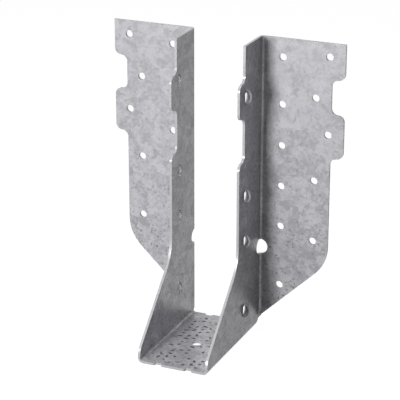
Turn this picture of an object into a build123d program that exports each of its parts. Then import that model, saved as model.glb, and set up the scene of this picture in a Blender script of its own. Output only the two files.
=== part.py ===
from build123d import *
import math
import os

# Joist hanger punched and folded from one galvanised steel sheet.
# X runs across the joist, Y runs from the open front back to the header, Z is up.
# While it is drawn, Y is 0 on the back of the nailing flanges, which lie on the header.

# Sheet and folds
sheet = 1.52
bend_radius = 1.5
outer_bend = bend_radius + sheet

# Overall form
joist_gap = 41.3
hanger_height = 182.5
flange_width = 51.1
seat_length = 76.2
seat_setback = 4.3
wall_reach = 35.0

# Steps that the punched outline shares between walls and flanges
edge_step = 8.0
step_radius = 4.0
tab_top_drop = 21.6
tab_height = 21.0
waist_drop = 69.2

# Sloped lower edges
slope_radius = 25.4
wall_slope_height = 51.5
toe_height = 7.6
toe_radius = 8.0
flange_slope_height = 46.4
fold_foot_rise = 0.3
flange_foot_rise = 3.2

# Face nail holes, as drops below the top edge or heights above the seat's underside
nail_hole = 4.5
outer_nail_margin = 9.65
middle_nail_margin = 17.55
inner_nail_offset = 12.9
outer_nail_drops = (8.3, 55.15)
middle_nail_drops = (33.7,)
middle_nail_heights = (98.0, 59.9)
inner_nail_drops = (11.45, 40.05, 65.45)
inner_nail_heights = (91.6, 66.2, 28.15)

# Nail hoods, raised outward from the walls behind a straight cut
hood_setback = 9.4
hood_radius = 5.2
hood_length = 6.4
hood_tip_radius = 4.2
hood_rise = 3.3
hood_wall = 1.0
hood_mouth_bevel = 0.5
lip_press = 0.6
lip_length = 2.8
lip_height = 5.7
right_hood_drop = 30.5
right_hood_heights = (91.5, 63.2, 18.6)
left_hood_drop = 26.0
left_hood_heights = (101.0, 72.2, 25.2)

# Relief holes punched across the folds between walls and flanges
relief_height = 51.4
relief_radius = 4.7
relief_flange_reach = 4.9
relief_wall_reach = 6.7

# Seat details
seat_notch_spacing = 19.2
seat_notch_width = 4.8
seat_notch_depth = 1.6
seat_notch_slant = 0.8
seat_hole = 6.0
seat_hole_setback = 34.8

# Places worked out from the sizes above
wall_in = joist_gap / 2
wall_out = wall_in + sheet
flange_edge = wall_out + flange_width
waist_edge = flange_edge - edge_step
wall_waist = wall_reach - edge_step
seat_front = seat_setback + seat_length
tab_top = hanger_height - tab_top_drop
tab_bottom = tab_top - tab_height
waist_height = hanger_height - waist_drop
step_fillet = min(step_radius, edge_step * 0.499)
fold_foot_height = outer_bend + fold_foot_rise
flange_foot_height = fold_foot_height + flange_foot_rise
hood_mouth = wall_reach - hood_setback
hood_axis = wall_out + hood_rise - hood_radius

# How far cutting shapes run past the sheet
beyond = 1.0


def outline(corners):
    """Face bounded by straight runs and tangent arcs, from corners of (u, v, radius)."""
    points = [(u, v) for u, v, radius in corners]
    radii = [radius for u, v, radius in corners]
    return make_face(FilletPolyline(points, radius=radii, close=True))


def across(face, low, high):
    """Prism of a face drawn in Y and Z, running from X low to X high."""
    return extrude(Plane.YZ.offset(low) * face, high - low)


def along(face, low, high):
    """Prism of a face drawn in X and Z, running from Y low to Y high."""
    return extrude(Plane.XZ.offset(-high) * face, high - low)


def trough():
    """Seat and both walls, folded up from the seat."""
    outer = outline([
        (-wall_out, hanger_height, 0),
        (-wall_out, 0, outer_bend),
        (wall_out, 0, outer_bend),
        (wall_out, hanger_height, 0),
    ])
    inner = outline([
        (-wall_in, hanger_height, 0),
        (-wall_in, sheet, bend_radius),
        (wall_in, sheet, bend_radius),
        (wall_in, hanger_height, 0),
    ])
    return along(outer - inner, -seat_front, -outer_bend)


def side_angle():
    """Right wall and flange, folded outward along the header."""
    plan = outline([
        (wall_in, -seat_front, 0),
        (wall_in, 0, outer_bend),
        (flange_edge, 0, 0),
        (flange_edge, -sheet, 0),
        (wall_out, -sheet, bend_radius),
        (wall_out, -seat_front, 0),
    ])
    return extrude(Pos(0, 0, outer_bend) * plan, hanger_height - outer_bend)


def front_view():
    """Outline of the whole blank as seen from the front, down to the folds."""
    right = [
        (flange_edge, hanger_height + beyond, 0),
        (flange_edge, tab_top, step_fillet),
        (waist_edge, tab_top, step_fillet),
        (waist_edge, tab_bottom, step_fillet),
        (flange_edge, tab_bottom, step_fillet),
        (flange_edge, waist_height, step_fillet),
        (waist_edge, waist_height, step_fillet),
        (waist_edge, flange_slope_height, slope_radius),
        (wall_out + bend_radius, flange_foot_height, 0),
        (wall_out + bend_radius, -beyond, 0),
    ]
    left = [(-x, z, radius) for x, z, radius in reversed(right)]
    return outline(right + left)


def side_view():
    """Outline of the walls and seat as seen from the side."""
    return outline([
        (beyond, hanger_height + beyond, 0),
        (-wall_waist, hanger_height + beyond, 0),
        (-wall_waist, tab_top, step_fillet),
        (-wall_reach, tab_top, step_fillet),
        (-wall_reach, tab_bottom, step_fillet),
        (-wall_waist, tab_bottom, step_fillet),
        (-wall_waist, waist_height, step_fillet),
        (-wall_reach, waist_height, step_fillet),
        (-wall_reach, wall_slope_height, slope_radius),
        (-seat_front, toe_height, toe_radius),
        (-seat_front, -beyond, 0),
        (-seat_setback, -beyond, 0),
        (-seat_setback, fold_foot_height - seat_setback + outer_bend, 0),
        (-outer_bend, fold_foot_height, 0),
        (beyond, fold_foot_height, 0),
    ])


def fold_foot():
    """Waste under the right fold, where the flange's sloped edge runs on round the bend."""
    wall_middle = wall_out - sheet / 2
    run = math.sqrt(2) * (outer_bend - sheet / 2)
    slope = flange_foot_rise / run
    before = -outer_bend
    after = 2 * outer_bend
    profile = outline([
        (before, -beyond, 0),
        (before, fold_foot_height + slope * before, 0),
        (after, fold_foot_height + slope * after, 0),
        (after, -beyond, 0),
    ])
    across_fold = Plane(origin=(wall_middle, -outer_bend, 0), x_dir=(1, 1, 0), z_dir=(1, -1, 0))
    waste = extrude(across_fold * profile, after, both=True)
    fold_side = outer_bend + beyond
    fold_zone = Box(fold_side, fold_side, hanger_height, align=Align.MIN)
    return waste & Pos(wall_in - beyond, -outer_bend, -beyond) * fold_zone


def both_sides(solid):
    """A solid and its mirror image across the joist's middle plane."""
    return solid + mirror(solid, Plane.YZ)


def face_nail_holes():
    """Round holes through the right flange, in three columns."""
    outer_x = flange_edge - outer_nail_margin
    middle_x = flange_edge - middle_nail_margin
    inner_x = wall_out + inner_nail_offset
    places = [(outer_x, hanger_height - drop) for drop in outer_nail_drops]
    places += [(middle_x, hanger_height - drop) for drop in middle_nail_drops]
    places += [(middle_x, height) for height in middle_nail_heights]
    places += [(inner_x, hanger_height - drop) for drop in inner_nail_drops]
    places += [(inner_x, height) for height in inner_nail_heights]
    holes = Sketch() + [Pos(x, z) * Circle(nail_hole / 2) for x, z in places]
    return along(holes, -sheet - beyond, beyond)


def relief_hole():
    """Hole punched across the right fold before folding."""
    flange_centre = wall_out + relief_flange_reach - relief_radius
    wall_centre = relief_wall_reach - relief_radius
    disc = Circle(relief_radius)
    in_flange = along(Pos(flange_centre, relief_height) * disc, -outer_bend, beyond)
    in_wall = across(Pos(-wall_centre, relief_height) * disc, wall_in - beyond, wall_out + bend_radius)
    return in_flange + in_wall


def half_egg(radius, tip_radius, length):
    """Half of an egg-shaped solid about the Y axis, cut flat at Y 0 and pointing back."""
    tip_centre = length - tip_radius
    shoulder_radius = (tip_centre ** 2 + radius ** 2 - tip_radius ** 2) / (2 * (radius - tip_radius))
    turn = math.degrees(math.asin(tip_centre / (shoulder_radius - tip_radius)))
    shoulder = JernArc((-radius, 0), (0, 1), shoulder_radius, -turn)
    tip = JernArc(shoulder @ 1, shoulder % 1, tip_radius, turn - 90)
    profile = make_face([shoulder, tip, Polyline((0, length), (0, 0), (-radius, 0))])
    return revolve(profile, Axis.Y)


def lip_wedge(surface, height):
    """Wedge that the lip sinks into a wall surface, deepest at the hood's mouth."""
    profile = Polyline(
        (surface + lip_press, -hood_mouth - 2 * lip_length),
        (surface - lip_press, -hood_mouth),
        (surface + lip_press, -hood_mouth),
        close=True,
    )
    return extrude(Pos(0, 0, height - lip_height / 2) * make_face(profile), lip_height)


def hood_metal(height):
    """Dome on the outside of the right wall and lip pressed to its inside, both still solid."""
    egg = half_egg(hood_radius, hood_tip_radius, hood_length)
    bevelled = chamfer(egg.edges().group_by(Axis.Y)[0], hood_mouth_bevel)
    dome = Pos(hood_axis, -hood_mouth, height) * bevelled
    block = Box(2 * hood_radius, 2 * hood_mouth, 4 * hood_radius)
    outside = Pos(wall_in + hood_radius, -hood_mouth, height) * block
    return (dome & outside) + lip_wedge(wall_in, height)


def hood_space(height):
    """Space under the dome and over the pressed lip, where the nail slides in."""
    hollow = half_egg(hood_radius - hood_wall, hood_tip_radius - hood_wall, hood_length - 2 * hood_wall)
    under_dome = Pos(hood_axis, -hood_mouth, height) * hollow
    return under_dome + lip_wedge(wall_out, height)


def add_hoods(body):
    """Raise the nail hoods on both walls, higher on the left so that their nails miss each other."""
    right = (hanger_height - right_hood_drop,) + right_hood_heights
    left = (hanger_height - left_hood_drop,) + left_hood_heights
    metal = [hood_metal(height) for height in right]
    metal += [mirror(hood_metal(height), Plane.YZ) for height in left]
    space = [hood_space(height) for height in right]
    space += [mirror(hood_space(height), Plane.YZ) for height in left]
    return body + metal - space


def seat_cuts():
    """Notches in the seat's front and back edges and the hole through it."""
    half = seat_notch_width / 2
    flat = half - seat_notch_slant
    cuts = Pos(0, -(seat_front - seat_hole_setback)) * Circle(seat_hole / 2)
    for side in (-1, 1):
        centre = side * seat_notch_spacing / 2
        for edge, inward in ((-seat_front, 1), (-seat_setback, -1)):
            deep = edge + inward * seat_notch_depth
            cuts += make_face(Polyline(
                (centre - half, edge - inward * beyond),
                (centre - half, edge),
                (centre - flat, deep),
                (centre + flat, deep),
                (centre + half, edge),
                (centre + half, edge - inward * beyond),
                close=True,
            ))
    return extrude(Pos(0, 0, -beyond) * cuts, sheet + 2 * beyond)


def hanger():
    """The whole hanger, with its origin under the middle of its box, on the seat's underside."""
    body = trough() + both_sides(side_angle())
    body = body & along(front_view(), -seat_front - beyond, beyond)
    body = body & across(side_view(), -flange_edge - beyond, flange_edge + beyond)
    body = body - both_sides(fold_foot())
    body = body - both_sides(face_nail_holes()) - both_sides(relief_hole()) - seat_cuts()
    return Pos(0, seat_front / 2, 0) * add_hoods(body)


os.makedirs("parts", exist_ok=True)
part = hanger()
solid = part.solids()[0]
solid.label = "hanger"
export_step(solid, "parts/hanger.step")
print("solids", len(part.solids()), "volume", round(solid.volume, 1), "valid", solid.is_valid)
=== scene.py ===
"""Galvanised joist hanger on a pale floor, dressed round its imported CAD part.

The folded sheet is finished from the CAD node: its sheared edges are rounded, small
generic marks are pressed into the seat, and a zinc finish with a soft spangle is worked
out from the sheet's own form. Lengths are in metres, X across the joist, Y towards the
header and Z up.
"""

import math

import bmesh
import bpy
import numpy as np
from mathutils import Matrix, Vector


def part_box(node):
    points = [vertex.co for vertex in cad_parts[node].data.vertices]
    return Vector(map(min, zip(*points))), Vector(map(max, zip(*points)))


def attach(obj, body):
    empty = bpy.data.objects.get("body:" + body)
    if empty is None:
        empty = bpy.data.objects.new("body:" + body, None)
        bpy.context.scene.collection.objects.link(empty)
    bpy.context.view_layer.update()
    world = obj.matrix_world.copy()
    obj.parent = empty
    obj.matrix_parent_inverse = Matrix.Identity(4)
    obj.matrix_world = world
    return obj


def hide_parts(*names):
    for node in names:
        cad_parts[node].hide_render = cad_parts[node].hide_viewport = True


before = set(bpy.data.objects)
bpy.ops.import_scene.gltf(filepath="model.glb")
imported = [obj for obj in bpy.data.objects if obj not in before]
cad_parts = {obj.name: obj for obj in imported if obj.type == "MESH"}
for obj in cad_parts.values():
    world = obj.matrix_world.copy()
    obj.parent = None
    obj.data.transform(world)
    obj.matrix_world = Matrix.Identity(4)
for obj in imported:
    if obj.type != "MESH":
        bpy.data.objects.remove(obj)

bl_info = {
    "name": "Joist Hanger",
    "version": (1, 0, 0),
    "blender": (4, 5, 0),
    "location": "View3D > Sidebar > Hanger",
    "description": "Dresses a folded galvanised joist hanger and sets its stage",
    "category": "Object",
}

NODE = "hanger"
BODY = "root"

LOW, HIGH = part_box(NODE)
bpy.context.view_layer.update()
HEADER = HIGH.y

# Place of the seat hole along Y, and how far marks and their colour stay from its middle
SEAT_HOLE_Y = -0.0055
HOLE_CLEAR = 0.0055
HOLE_RIM = 0.004

# Part of the floor's white that the lamps give it, so that its own glow is that much less
FLOOR_LIT = 0.02

# Soft lamps: name, turn to the right of the front and rise above the horizon in degrees,
# distance, width and height in metres, power in watts
LAMPS = (
    ("key_lamp", -11.0, 14.0, 0.60, 0.14, 0.14, 3.2),
    ("left_lamp", -85.0, 27.0, 0.70, 0.50, 0.50, 0.8),
    ("top_lamp", 180.0, 82.0, 0.70, 0.40, 0.40, 2.0),
)
LAMP_CENTRE = 0.10

# Names of the mesh attributes that the zinc material reads; the mark attribute places painted shade
# in the pressed marks
CUT_EDGE = "cut_edge"
MARK_SHADE = "mark"


# Settings

class SheetSettings(bpy.types.PropertyGroup):
    """Sizes of the folded sheet that its finish follows."""

    thickness: bpy.props.FloatProperty(
        name="Thickness", description="Thickness of the sheet",
        default=0.00152, min=0.0005, unit="LENGTH")
    bend_radius: bpy.props.FloatProperty(
        name="Bend radius", description="Inner radius of every fold",
        default=0.0015, min=0.0005, unit="LENGTH")
    gap: bpy.props.FloatProperty(
        name="Gap", description="Clear width between the two walls",
        default=0.0413, min=0.01, unit="LENGTH")
    edge_round: bpy.props.FloatProperty(
        name="Edge rounding", description="Width of the rounding left by the shears",
        default=0.00014, min=0.00002, unit="LENGTH")
    round_above: bpy.props.FloatProperty(
        name="Round above", description="Edges sharper than this angle are rounded",
        default=math.radians(40), subtype="ANGLE")


class MarkSettings(bpy.types.PropertyGroup):
    """Short plain marks pressed into the seat in rows."""

    rows: bpy.props.IntProperty(
        name="Rows", description="Rows of marks across the seat", default=7, min=1)
    per_row: bpy.props.IntProperty(
        name="Marks in a row", description="Marks along each row", default=17, min=1)
    length: bpy.props.FloatProperty(
        name="Length", description="Length of the longest mark", default=0.0034, unit="LENGTH")
    width: bpy.props.FloatProperty(
        name="Width", description="Width of a mark at the surface", default=0.0016, unit="LENGTH")
    depth: bpy.props.FloatProperty(
        name="Depth", description="Depth of a mark below the seat", default=0.0004, unit="LENGTH")
    left_out: bpy.props.FloatProperty(
        name="Left out", description="Share of the places that stay bare",
        default=0.25, min=0.0, max=0.95, subtype="FACTOR")
    seed: bpy.props.IntProperty(
        name="Seed", description="Seed of the uneven lengths and gaps", default=11)


class ZincSettings(bpy.types.PropertyGroup):
    """Colours and scale of the zinc coat."""

    dull: bpy.props.FloatVectorProperty(
        name="Dull zinc", description="Colour of the darkest crystals",
        default=(0.38, 0.38, 0.403), size=3, subtype="COLOR")
    bright: bpy.props.FloatVectorProperty(
        name="Bright zinc", description="Colour of the lightest crystals",
        default=(0.58, 0.58, 0.609), size=3, subtype="COLOR")
    cut_steel: bpy.props.FloatVectorProperty(
        name="Cut edge", description="Colour of the sheared edge",
        default=(0.50, 0.50, 0.52), size=3, subtype="COLOR")
    # The dark colour also fills the pressed marks as painted shade in those recesses
    dark: bpy.props.FloatVectorProperty(
        name="Dark specks and painted mark shade", description="Colour of the dark specks, and painted shade in the pressed marks",
        default=(0.10, 0.10, 0.11), size=3, subtype="COLOR")
    spangle: bpy.props.FloatProperty(
        name="Spangle", description="Usual width of a zinc crystal",
        default=0.0055, min=0.0005, unit="LENGTH")
    speck: bpy.props.FloatProperty(
        name="Speck", description="Usual spacing of the dark specks",
        default=0.0017, min=0.0002, unit="LENGTH")
    speck_top: bpy.props.FloatProperty(
        name="Specks up to", description="Height at which the last dark specks end",
        default=0.15, unit="LENGTH")
    metallic: bpy.props.FloatProperty(
        name="Metallic", description="Share of bare metal in the dull zinc",
        default=0.2, min=0.0, max=1.0, subtype="FACTOR")
    roughness: bpy.props.FloatProperty(
        name="Roughness", description="Mean roughness of the zinc",
        default=0.32, min=0.05, max=1.0, subtype="FACTOR")


class StageSettings(bpy.types.PropertyGroup):
    """Camera, lamps, floor and backdrop."""

    azimuth: bpy.props.FloatProperty(
        name="Azimuth", description="Camera's turn to the right of the front",
        default=math.radians(23.8154), subtype="ANGLE")
    elevation: bpy.props.FloatProperty(
        name="Elevation", description="Camera's angle above the horizon",
        default=math.radians(20.648), subtype="ANGLE")
    camera_place: bpy.props.FloatVectorProperty(
        name="Camera place", description="Where the camera stands",
        default=(0.3776, -0.85605, 0.4436), size=3, subtype="TRANSLATION", unit="LENGTH")
    lens: bpy.props.FloatProperty(
        name="Lens", description="Focal length in millimetres", default=154.64, min=10.0)
    power: bpy.props.FloatProperty(
        name="Lamp level", description="Multiplies the power of every lamp", default=1.0, min=0.0)
    surroundings: bpy.props.FloatProperty(
        name="Surroundings", description="White level of the floor and backdrop",
        default=1.0, min=0.0, max=1.0)
    room: bpy.props.FloatProperty(
        name="Room", description="Level of the light from the room itself", default=0.01, min=0.0)
    floor_grey: bpy.props.FloatProperty(
        name="Floor", description="Light that the floor throws back", default=0.10,
        min=0.0, max=1.0)


# Meshes

def direction(turn, rise):
    """Unit vector towards a turn to the right of the front and a rise, both in degrees."""
    turn, rise = math.radians(turn), math.radians(rise)
    flat = math.cos(rise)
    return Vector((math.sin(turn) * flat, -math.cos(turn) * flat, math.sin(rise)))


def mesh_object(name, mesh, material=None):
    """Puts a mesh into the scene as an object at the origin."""
    piece = bpy.data.objects.new(name, mesh)
    bpy.context.scene.collection.objects.link(piece)
    if material:
        mesh.materials.append(material)
    return piece


def merged_copy(node, weld=1e-6, flat=math.radians(0.2)):
    """Copy of a CAD node's mesh, welded and with flat neighbours joined into one face."""
    work = bmesh.new()
    work.from_mesh(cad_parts[node].data)
    bmesh.ops.remove_doubles(work, verts=work.verts, dist=weld)
    bmesh.ops.dissolve_limit(work, angle_limit=flat, verts=work.verts, edges=work.edges)
    mesh = bpy.data.meshes.new(node + "_welded")
    work.to_mesh(mesh)
    work.free()
    mesh.materials.clear()
    return mesh


def pressed_marks(marks, sheet, sides=16, power=2.6):
    """Plugs that press the marks, as closed tubes on one grid of (mark, ring, turn).

    Each ring is a superellipse, |u / a| ** power + |v / b| ** power = 1, whose long axis u
    lies at its own angle, and the rings shrink by a fixed slope down to the mark's floor.
    """
    rng = np.random.default_rng(marks.seed)
    half_gap = sheet.gap / 2 - 2 * sheet.bend_radius
    row_x = np.linspace(-half_gap, half_gap, marks.rows + 2)[1:-1]
    step = (HIGH.y - LOW.y) / (marks.per_row + 1)
    row_y = LOW.y + step * (1 + np.arange(marks.per_row))
    x, y = np.meshgrid(row_x, row_y, indexing="ij")
    y[1::2] += step / 2
    x, y = x.ravel(), y.ravel()
    kept = rng.random(x.size) > marks.left_out
    kept &= np.hypot(x, y - SEAT_HOLE_Y) > HOLE_CLEAR
    kept &= y < HIGH.y - 0.009
    x, y = x[kept], y[kept]
    x = x + rng.uniform(-0.00025, 0.00025, x.size)
    y = y + rng.uniform(-0.0004, 0.0004, y.size)
    half_length = marks.length / 2 * rng.uniform(0.35, 1.0, x.size)
    half_width = np.full(x.size, marks.width / 2)
    lie = rng.uniform(0, math.pi, x.size)[:, None, None]
    depth = np.array([-1.0, 1.0]) * marks.depth
    draw = depth * 0.4
    turn = np.arange(sides) * 2 * math.pi / sides
    cos, sin = np.cos(turn), np.sin(turn)
    ring = (np.abs(cos) ** power + np.abs(sin) ** power) ** (-1 / power)
    grid = np.empty((x.size, depth.size, sides, 3))
    along = (half_length[:, None, None] - draw[None, :, None]) * ring * cos
    aside = (half_width[:, None, None] - draw[None, :, None]) * ring * sin
    grid[..., 0] = x[:, None, None] + along * np.cos(lie) - aside * np.sin(lie)
    grid[..., 1] = y[:, None, None] + along * np.sin(lie) + aside * np.cos(lie)
    grid[..., 2] = sheet.thickness - depth[None, :, None]
    index = np.arange(grid.size // 3).reshape(x.size, depth.size, sides)
    top, bottom = index[:, 0], index[:, 1]
    walls = np.stack([bottom, np.roll(bottom, -1, 1), np.roll(top, -1, 1), top], -1)
    faces = [*walls.reshape(-1, 4).tolist(), *top.tolist(), *bottom[:, ::-1].tolist()]
    mesh = bpy.data.meshes.new("seat_marks")
    mesh.from_pydata(grid.reshape(-1, 3), [], faces)
    return mesh


def sheet_direction(points, sheet):
    """Direction through the sheet's thickness at each point.

    Off the folds it is Z on the seat, X on a wall and Y on a flange. In a fold it runs from
    the fold's own axis to the point, so it turns evenly from one side to the other.
    """
    x, y, z = np.abs(points[:, 0]), points[:, 1], points[:, 2]
    outer = sheet.bend_radius + sheet.thickness
    wall_in = sheet.gap / 2
    wall_out = wall_in + sheet.thickness
    seat_axis = (wall_in - sheet.bend_radius, outer)
    header_axis = (wall_out + sheet.bend_radius, HEADER - outer)
    in_seat_fold = (z < seat_axis[1]) & (x > seat_axis[0])
    in_header_fold = (y > header_axis[1]) & (x < header_axis[0]) & ~in_seat_fold
    on_flange = (x >= header_axis[0]) & ~in_seat_fold
    on_seat = (z < seat_axis[1]) & (x <= seat_axis[0])
    side = np.sign(points[:, 0])
    zero, one = np.zeros_like(x), np.ones_like(x)
    seat_fold = np.stack([side * (x - seat_axis[0]), zero, z - seat_axis[1]], -1)
    header_fold = np.stack([side * (x - header_axis[0]), y - header_axis[1], zero], -1)
    direction = np.stack([one, zero, zero], -1)
    direction[on_flange] = (0, 1, 0)
    direction[on_seat] = (0, 0, 1)
    direction[in_seat_fold] = seat_fold[in_seat_fold]
    direction[in_header_fold] = header_fold[in_header_fold]
    direction /= np.linalg.norm(direction, axis=1, keepdims=True) + 1e-12
    return direction


def mark_cut_edges(mesh, sheet):
    """Face attributes: 1 on sheared edges, whose normal lies along the sheet, and on marks."""
    count = len(mesh.polygons)
    centre, normal = np.empty(count * 3), np.empty(count * 3)
    mesh.polygons.foreach_get("center", centre)
    mesh.polygons.foreach_get("normal", normal)
    direction = sheet_direction(centre.reshape(-1, 3), sheet)
    along = np.abs((normal.reshape(-1, 3) * direction).sum(1))
    cut = np.clip(1.4 - 2 * along, 0, 1)
    x, y, z = np.abs(centre.reshape(-1, 3)).T
    # Faces in the pressed marks, which the material paints dark as shade in the recesses
    mark = (x < sheet.gap / 2 - 2 * sheet.bend_radius) & (z > 0.3 * sheet.thickness)
    mark &= (z < 0.97 * sheet.thickness)
    mark &= (centre[1::3] > LOW.y + 0.004) & (centre[1::3] < HEADER - 0.008)
    mark &= np.hypot(x, centre[1::3] - SEAT_HOLE_Y) > HOLE_RIM
    for name, values in ((CUT_EDGE, cut), (MARK_SHADE, mark.astype(float))):
        mesh.attributes.new(name, "FLOAT", "FACE").data.foreach_set("value", values)


# Materials

def tree_of(material):
    """Empty node tree of a material, with its shader and output joined."""
    material.use_nodes = True
    nodes, links = material.node_tree.nodes, material.node_tree.links
    nodes.clear()
    out = nodes.new("ShaderNodeOutputMaterial")
    shader = nodes.new("ShaderNodeBsdfPrincipled")
    links.new(shader.outputs["BSDF"], out.inputs["Surface"])
    return nodes, links, shader


def add(nodes, kind, label, **settings):
    """New node with a label, its own settings, and values for its named inputs."""
    node = nodes.new("ShaderNode" + kind)
    node.label = label
    inputs = settings.pop("inputs", {})
    for key, value in settings.items():
        setattr(node, key, value)
    for key, value in inputs.items():
        node.inputs[key].default_value = value
    return node


def new_group(name, sockets):
    """Empty shader node group with named sockets, given as (name, in or out, type, default)."""
    group = bpy.data.node_groups.new(name, "ShaderNodeTree")
    for label, way, kind, default in sockets:
        socket = group.interface.new_socket(label, in_out=way, socket_type="NodeSocket" + kind)
        if default is not None:
            socket.default_value = default
    return group, group.nodes.new("NodeGroupInput"), group.nodes.new("NodeGroupOutput")


def spangle_group():
    """Zinc crystals: a random value and a small random tilt for each crystal, with soft borders."""
    group, given, result = new_group("ZincSpangle", [
        ("Vector", "INPUT", "Vector", None),
        ("Crystal Width", "INPUT", "Float", 0.0045),
        ("Waver", "INPUT", "Float", 0.3),
        ("Tilt", "INPUT", "Float", 0.05),
        ("Crystal", "OUTPUT", "Float", None),
        ("Normal", "OUTPUT", "Vector", None),
    ])
    nodes, links = group.nodes, group.links
    density = add(nodes, "Math", "Crystals per metre", operation="DIVIDE", inputs={0: 1.0})
    scaled = add(nodes, "VectorMath", "In crystals", operation="SCALE")
    bend = add(nodes, "TexNoise", "Wavering borders", inputs={"Scale": 1.3, "Detail": 4.0})
    centred = add(nodes, "VectorMath", "Centred", operation="SUBTRACT", inputs={1: (0.5, 0.5, 0.5)})
    amount = add(nodes, "VectorMath", "Amount of waver", operation="SCALE")
    warped = add(nodes, "VectorMath", "Warped", operation="ADD")
    cells = add(nodes, "TexVoronoi", "Crystals", feature="SMOOTH_F1",
                inputs={"Scale": 1.0, "Smoothness": 0.22, "Randomness": 1.0})
    split = add(nodes, "SeparateColor", "Random numbers")
    lean = add(nodes, "VectorMath", "Lean", operation="SUBTRACT", inputs={1: (0.5, 0.5, 0.5)})
    leaning = add(nodes, "VectorMath", "Amount of tilt", operation="SCALE")
    surface = add(nodes, "NewGeometry", "Surface")
    tilted = add(nodes, "VectorMath", "Tilted", operation="ADD")
    unit = add(nodes, "VectorMath", "Unit length", operation="NORMALIZE")
    links.new(given.outputs["Crystal Width"], density.inputs[1])
    links.new(given.outputs["Vector"], scaled.inputs[0])
    links.new(density.outputs[0], scaled.inputs["Scale"])
    links.new(scaled.outputs[0], bend.inputs["Vector"])
    links.new(bend.outputs["Color"], centred.inputs[0])
    links.new(centred.outputs[0], amount.inputs[0])
    links.new(given.outputs["Waver"], amount.inputs["Scale"])
    links.new(scaled.outputs[0], warped.inputs[0])
    links.new(amount.outputs[0], warped.inputs[1])
    links.new(warped.outputs[0], cells.inputs["Vector"])
    links.new(cells.outputs["Color"], split.inputs["Color"])
    links.new(split.outputs["Red"], result.inputs["Crystal"])
    links.new(cells.outputs["Color"], lean.inputs[0])
    links.new(lean.outputs[0], leaning.inputs[0])
    links.new(given.outputs["Tilt"], leaning.inputs["Scale"])
    links.new(surface.outputs["Normal"], tilted.inputs[0])
    links.new(leaning.outputs[0], tilted.inputs[1])
    links.new(tilted.outputs[0], unit.inputs[0])
    links.new(unit.outputs[0], result.inputs["Normal"])
    return group


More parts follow.
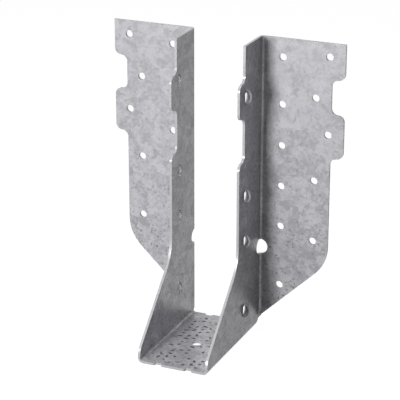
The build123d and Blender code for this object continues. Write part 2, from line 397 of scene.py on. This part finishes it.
def zinc_material(zinc):
    """Galvanised sheet: spangle in colour, shine and tilt, dark specks, plain steel on cut edges."""
    material = bpy.data.materials.new("galvanised_zinc")
    nodes, links, shader = tree_of(material)
    shader.inputs["Metallic"].default_value = zinc.metallic
    place = add(nodes, "TexCoord", "Object place")
    large = add(nodes, "Group", "Large crystals", node_tree=spangle_group(),
                inputs={"Crystal Width": zinc.spangle, "Waver": 1.6, "Tilt": 0.04})
    small = add(nodes, "Group", "Small crystals", node_tree=large.node_tree,
                inputs={"Crystal Width": zinc.spangle * 0.3, "Waver": 1.0, "Tilt": 0.03})
    cloud = add(nodes, "TexNoise", "Dull patches",
                inputs={"Scale": 90.0, "Detail": 6.0, "Roughness": 0.65, "Distortion": 0.6})
    links.new(place.outputs["Object"], large.inputs["Vector"])
    links.new(place.outputs["Object"], small.inputs["Vector"])
    links.new(place.outputs["Object"], cloud.inputs["Vector"])
    both = add(nodes, "Mix", "Large and small", data_type="FLOAT", inputs={"Factor": 0.5})
    links.new(large.outputs["Crystal"], both.inputs["A"])
    links.new(small.outputs["Crystal"], both.inputs["B"])
    patch = add(nodes, "Mix", "With dull patches", data_type="FLOAT", inputs={"Factor": 0.5})
    links.new(both.outputs["Result"], patch.inputs["A"])
    links.new(cloud.outputs["Fac"], patch.inputs["B"])
    spread = add(nodes, "MapRange", "Contrast", interpolation_type="SMOOTHSTEP",
                 inputs={"From Min": 0.28, "From Max": 0.72})
    links.new(patch.outputs["Result"], spread.inputs["Value"])
    tone = add(nodes, "Mix", "Zinc colour", data_type="RGBA")
    tone.inputs["A"].default_value = (*zinc.dull, 1)
    tone.inputs["B"].default_value = (*zinc.bright, 1)
    links.new(spread.outputs["Result"], tone.inputs["Factor"])
    speck = add(nodes, "TexNoise", "Dark specks",
                inputs={"Scale": 1 / zinc.speck, "Detail": 1.5, "Roughness": 0.5})
    links.new(place.outputs["Object"], speck.inputs["Vector"])
    strong = add(nodes, "MapRange", "Strongest specks", interpolation_type="SMOOTHSTEP",
                 inputs={"From Min": 0.58, "From Max": 0.72})
    links.new(speck.outputs["Fac"], strong.inputs["Value"])
    height = add(nodes, "SeparateXYZ", "Height")
    links.new(place.outputs["Object"], height.inputs[0])
    lower = add(nodes, "MapRange", "Fewer towards the top", inputs={
        "From Min": zinc.speck_top, "From Max": 0.0, "To Max": 0.85})
    links.new(height.outputs["Z"], lower.inputs["Value"])
    specks = add(nodes, "Math", "Depth of specks", operation="MULTIPLY")
    links.new(strong.outputs["Result"], specks.inputs[0])
    links.new(lower.outputs["Result"], specks.inputs[1])
    specked = add(nodes, "Mix", "Colour with specks", data_type="RGBA")
    specked.inputs["B"].default_value = (*zinc.dark, 1)
    links.new(specks.outputs[0], specked.inputs["Factor"])
    links.new(tone.outputs["Result"], specked.inputs["A"])
    cut = add(nodes, "Attribute", "Cut edge", attribute_name=CUT_EDGE)
    colour = add(nodes, "Mix", "Colour with cut edge", data_type="RGBA")
    colour.inputs["B"].default_value = (*zinc.cut_steel, 1)
    links.new(cut.outputs["Fac"], colour.inputs["Factor"])
    links.new(specked.outputs["Result"], colour.inputs["A"])
    # Painted shade: the pressed marks take the dark colour, standing for the shade inside these
    # recesses
    pressed = add(nodes, "Attribute", "Pressed mark", attribute_name=MARK_SHADE)
    marked = add(nodes, "Mix", "Colour with painted shade in marks", data_type="RGBA")
    marked.inputs["B"].default_value = (*zinc.dark, 1)
    links.new(pressed.outputs["Fac"], marked.inputs["Factor"])
    links.new(colour.outputs["Result"], marked.inputs["A"])
    links.new(marked.outputs["Result"], shader.inputs["Base Color"])
    shine = add(nodes, "MapRange", "Roughness", inputs={
        "To Min": zinc.roughness + 0.06, "To Max": zinc.roughness - 0.06})
    links.new(spread.outputs["Result"], shine.inputs["Value"])
    links.new(shine.outputs["Result"], shader.inputs["Roughness"])
    grain = add(nodes, "TexNoise", "Fine grain",
                inputs={"Scale": 1800.0, "Detail": 2.0, "Roughness": 0.5})
    links.new(place.outputs["Object"], grain.inputs["Vector"])
    relief = add(nodes, "Bump", "Grain relief", inputs={"Strength": 0.25, "Distance": 0.00003})
    links.new(grain.outputs["Fac"], relief.inputs["Height"])
    links.new(large.outputs["Normal"], relief.inputs["Normal"])
    links.new(relief.outputs["Normal"], shader.inputs["Normal"])
    return material


def plain_material(name, grey, glow=0.0):
    """One even grey; glow is the level that the camera and mirrors see on top of its light."""
    material = bpy.data.materials.new(name)
    nodes, links, shader = tree_of(material)
    shader.inputs["Base Color"].default_value = (grey, grey, grey, 1)
    shader.inputs["Roughness"].default_value = 1.0
    shader.inputs["Specular IOR Level"].default_value = 0.0
    if glow:
        shader.inputs["Emission Color"].default_value = (glow, glow, glow, 1)
        links.new(seen_directly(nodes, links), shader.inputs["Emission Strength"])
    return material


def seen_directly(nodes, links):
    """Socket that is 1 for camera, glossy and transmission rays and 0 for the others."""
    path = add(nodes, "LightPath", "Kind of ray")
    first = add(nodes, "Math", "Camera or mirror", operation="MAXIMUM")
    second = add(nodes, "Math", "Camera, mirror or glass", operation="MAXIMUM")
    links.new(path.outputs["Is Camera Ray"], first.inputs[0])
    links.new(path.outputs["Is Glossy Ray"], first.inputs[1])
    links.new(first.outputs[0], second.inputs[0])
    links.new(path.outputs["Is Transmission Ray"], second.inputs[1])
    return second.outputs[0]


# Operators

class HANGER_OT_sheet(bpy.types.Operator):
    """Make the folded sheet with rounded edges, pressed marks and zinc finish."""

    bl_idname = "hanger.sheet"
    bl_label = "Folded sheet"

    def execute(self, context):
        scene = context.scene
        sheet, marks = scene.hanger_sheet, scene.hanger_marks
        rough = mesh_object("hanger_blank", merged_copy(NODE))
        plugs = mesh_object("seat_plugs", pressed_marks(marks, sheet))
        rounding = rough.modifiers.new("Rounded edges", "BEVEL")
        rounding.width = sheet.edge_round
        rounding.segments = 2
        rounding.limit_method = "ANGLE"
        rounding.angle_limit = sheet.round_above
        rounding.use_clamp_overlap = True
        pressing = rough.modifiers.new("Pressed marks", "BOOLEAN")
        pressing.operation = "DIFFERENCE"
        pressing.solver = "EXACT"
        pressing.object = plugs
        graph = context.evaluated_depsgraph_get()
        mesh = bpy.data.meshes.new_from_object(rough.evaluated_get(graph))
        if not mesh.polygons:
            raise RuntimeError("the pressed marks left no sheet")
        bpy.data.objects.remove(rough)
        bpy.data.objects.remove(plugs)
        mesh.materials.clear()
        mark_cut_edges(mesh, sheet)
        mesh.shade_smooth()
        mesh.set_sharp_from_angle(angle=sheet.round_above)
        piece = mesh_object("folded_sheet", mesh, zinc_material(scene.hanger_zinc))
        shading = piece.modifiers.new("Flat faces stay flat", "WEIGHTED_NORMAL")
        shading.keep_sharp = True
        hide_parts(NODE)
        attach(piece, BODY)
        return {"FINISHED"}


class HANGER_OT_stage(bpy.types.Operator):
    """Set the camera, the lamps, the floor and the backdrop."""

    bl_idname = "hanger.stage"
    bl_label = "Stage"

    def execute(self, context):
        stage = context.scene.hanger_stage
        self.set_camera(context.scene, stage)
        self.set_world(context.scene, stage)
        self.set_lamps(context.scene, stage)
        self.set_floor(stage)
        context.scene.view_settings.view_transform = "Standard"
        return {"FINISHED"}

    def set_camera(self, scene, stage):
        camera = bpy.data.objects.new("camera", bpy.data.cameras.new("camera"))
        camera.data.lens = stage.lens
        camera.data.sensor_width = 36.0
        camera.location = stage.camera_place
        camera.rotation_euler = (math.pi / 2 - stage.elevation, 0.0, stage.azimuth)
        scene.collection.objects.link(camera)
        scene.camera = camera

    def set_world(self, scene, stage):
        world = bpy.data.worlds.new("white_backdrop")
        world.use_nodes = True
        nodes, links = world.node_tree.nodes, world.node_tree.links
        level = add(nodes, "MapRange", "Backdrop or room", inputs={
            "To Min": stage.room, "To Max": stage.surroundings})
        links.new(seen_directly(nodes, links), level.inputs["Value"])
        sky = nodes["Background"]
        sky.inputs["Color"].default_value = (1, 1, 1, 1)
        links.new(level.outputs["Result"], sky.inputs["Strength"])
        scene.world = world

    def set_lamps(self, scene, stage):
        for name, turn, rise, distance, width, height, power in LAMPS:
            light = bpy.data.lights.new(name, "AREA")
            light.shape = "RECTANGLE"
            light.size, light.size_y = width, height
            light.energy = power * stage.power
            lamp = bpy.data.objects.new(name, light)
            way = direction(turn, rise)
            lamp.location = Vector((0, 0, LAMP_CENTRE)) + way * distance
            lamp.rotation_euler = way.to_track_quat("Z", "Y").to_euler()
            scene.collection.objects.link(lamp)

    def set_floor(self, stage):
        reach = 6.0
        corners = [(-reach, -reach, 0), (reach, -reach, 0), (reach, reach, 0), (-reach, reach, 0)]
        mesh = bpy.data.meshes.new("floor")
        mesh.from_pydata(corners, [], [(0, 1, 2, 3)])
        glow = stage.surroundings - FLOOR_LIT
        floor = mesh_object("floor", mesh, plain_material("pale_floor", stage.floor_grey, glow))


class HANGER_PT_panel(bpy.types.Panel):
    """Lists the hanger's operators."""

    bl_label = "Joist hanger"
    bl_idname = "HANGER_PT_panel"
    bl_space_type = "VIEW_3D"
    bl_region_type = "UI"
    bl_category = "Hanger"

    def draw(self, context):
        for operator in STEPS:
            self.layout.operator(operator.bl_idname)
        for name, _ in SETTINGS:
            box = self.layout.box()
            settings = getattr(context.scene, name)
            for key in settings.__annotations__:
                box.prop(settings, key)


STEPS = (HANGER_OT_sheet, HANGER_OT_stage)
SETTINGS = (
    ("hanger_sheet", SheetSettings),
    ("hanger_marks", MarkSettings),
    ("hanger_zinc", ZincSettings),
    ("hanger_stage", StageSettings),
)


def register():
    for name, kind in SETTINGS:
        bpy.utils.register_class(kind)
        setattr(bpy.types.Scene, name, bpy.props.PointerProperty(type=kind))
    for kind in (*STEPS, HANGER_PT_panel):
        bpy.utils.register_class(kind)


def unregister():
    for kind in reversed((*STEPS, HANGER_PT_panel)):
        bpy.utils.unregister_class(kind)
    for name, kind in reversed(SETTINGS):
        delattr(bpy.types.Scene, name)
        bpy.utils.unregister_class(kind)


def main():
    """Registers the add-on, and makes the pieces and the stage."""
    register()
    bpy.ops.hanger.sheet()
    bpy.ops.hanger.stage()


if __name__ == "__main__":
    main()
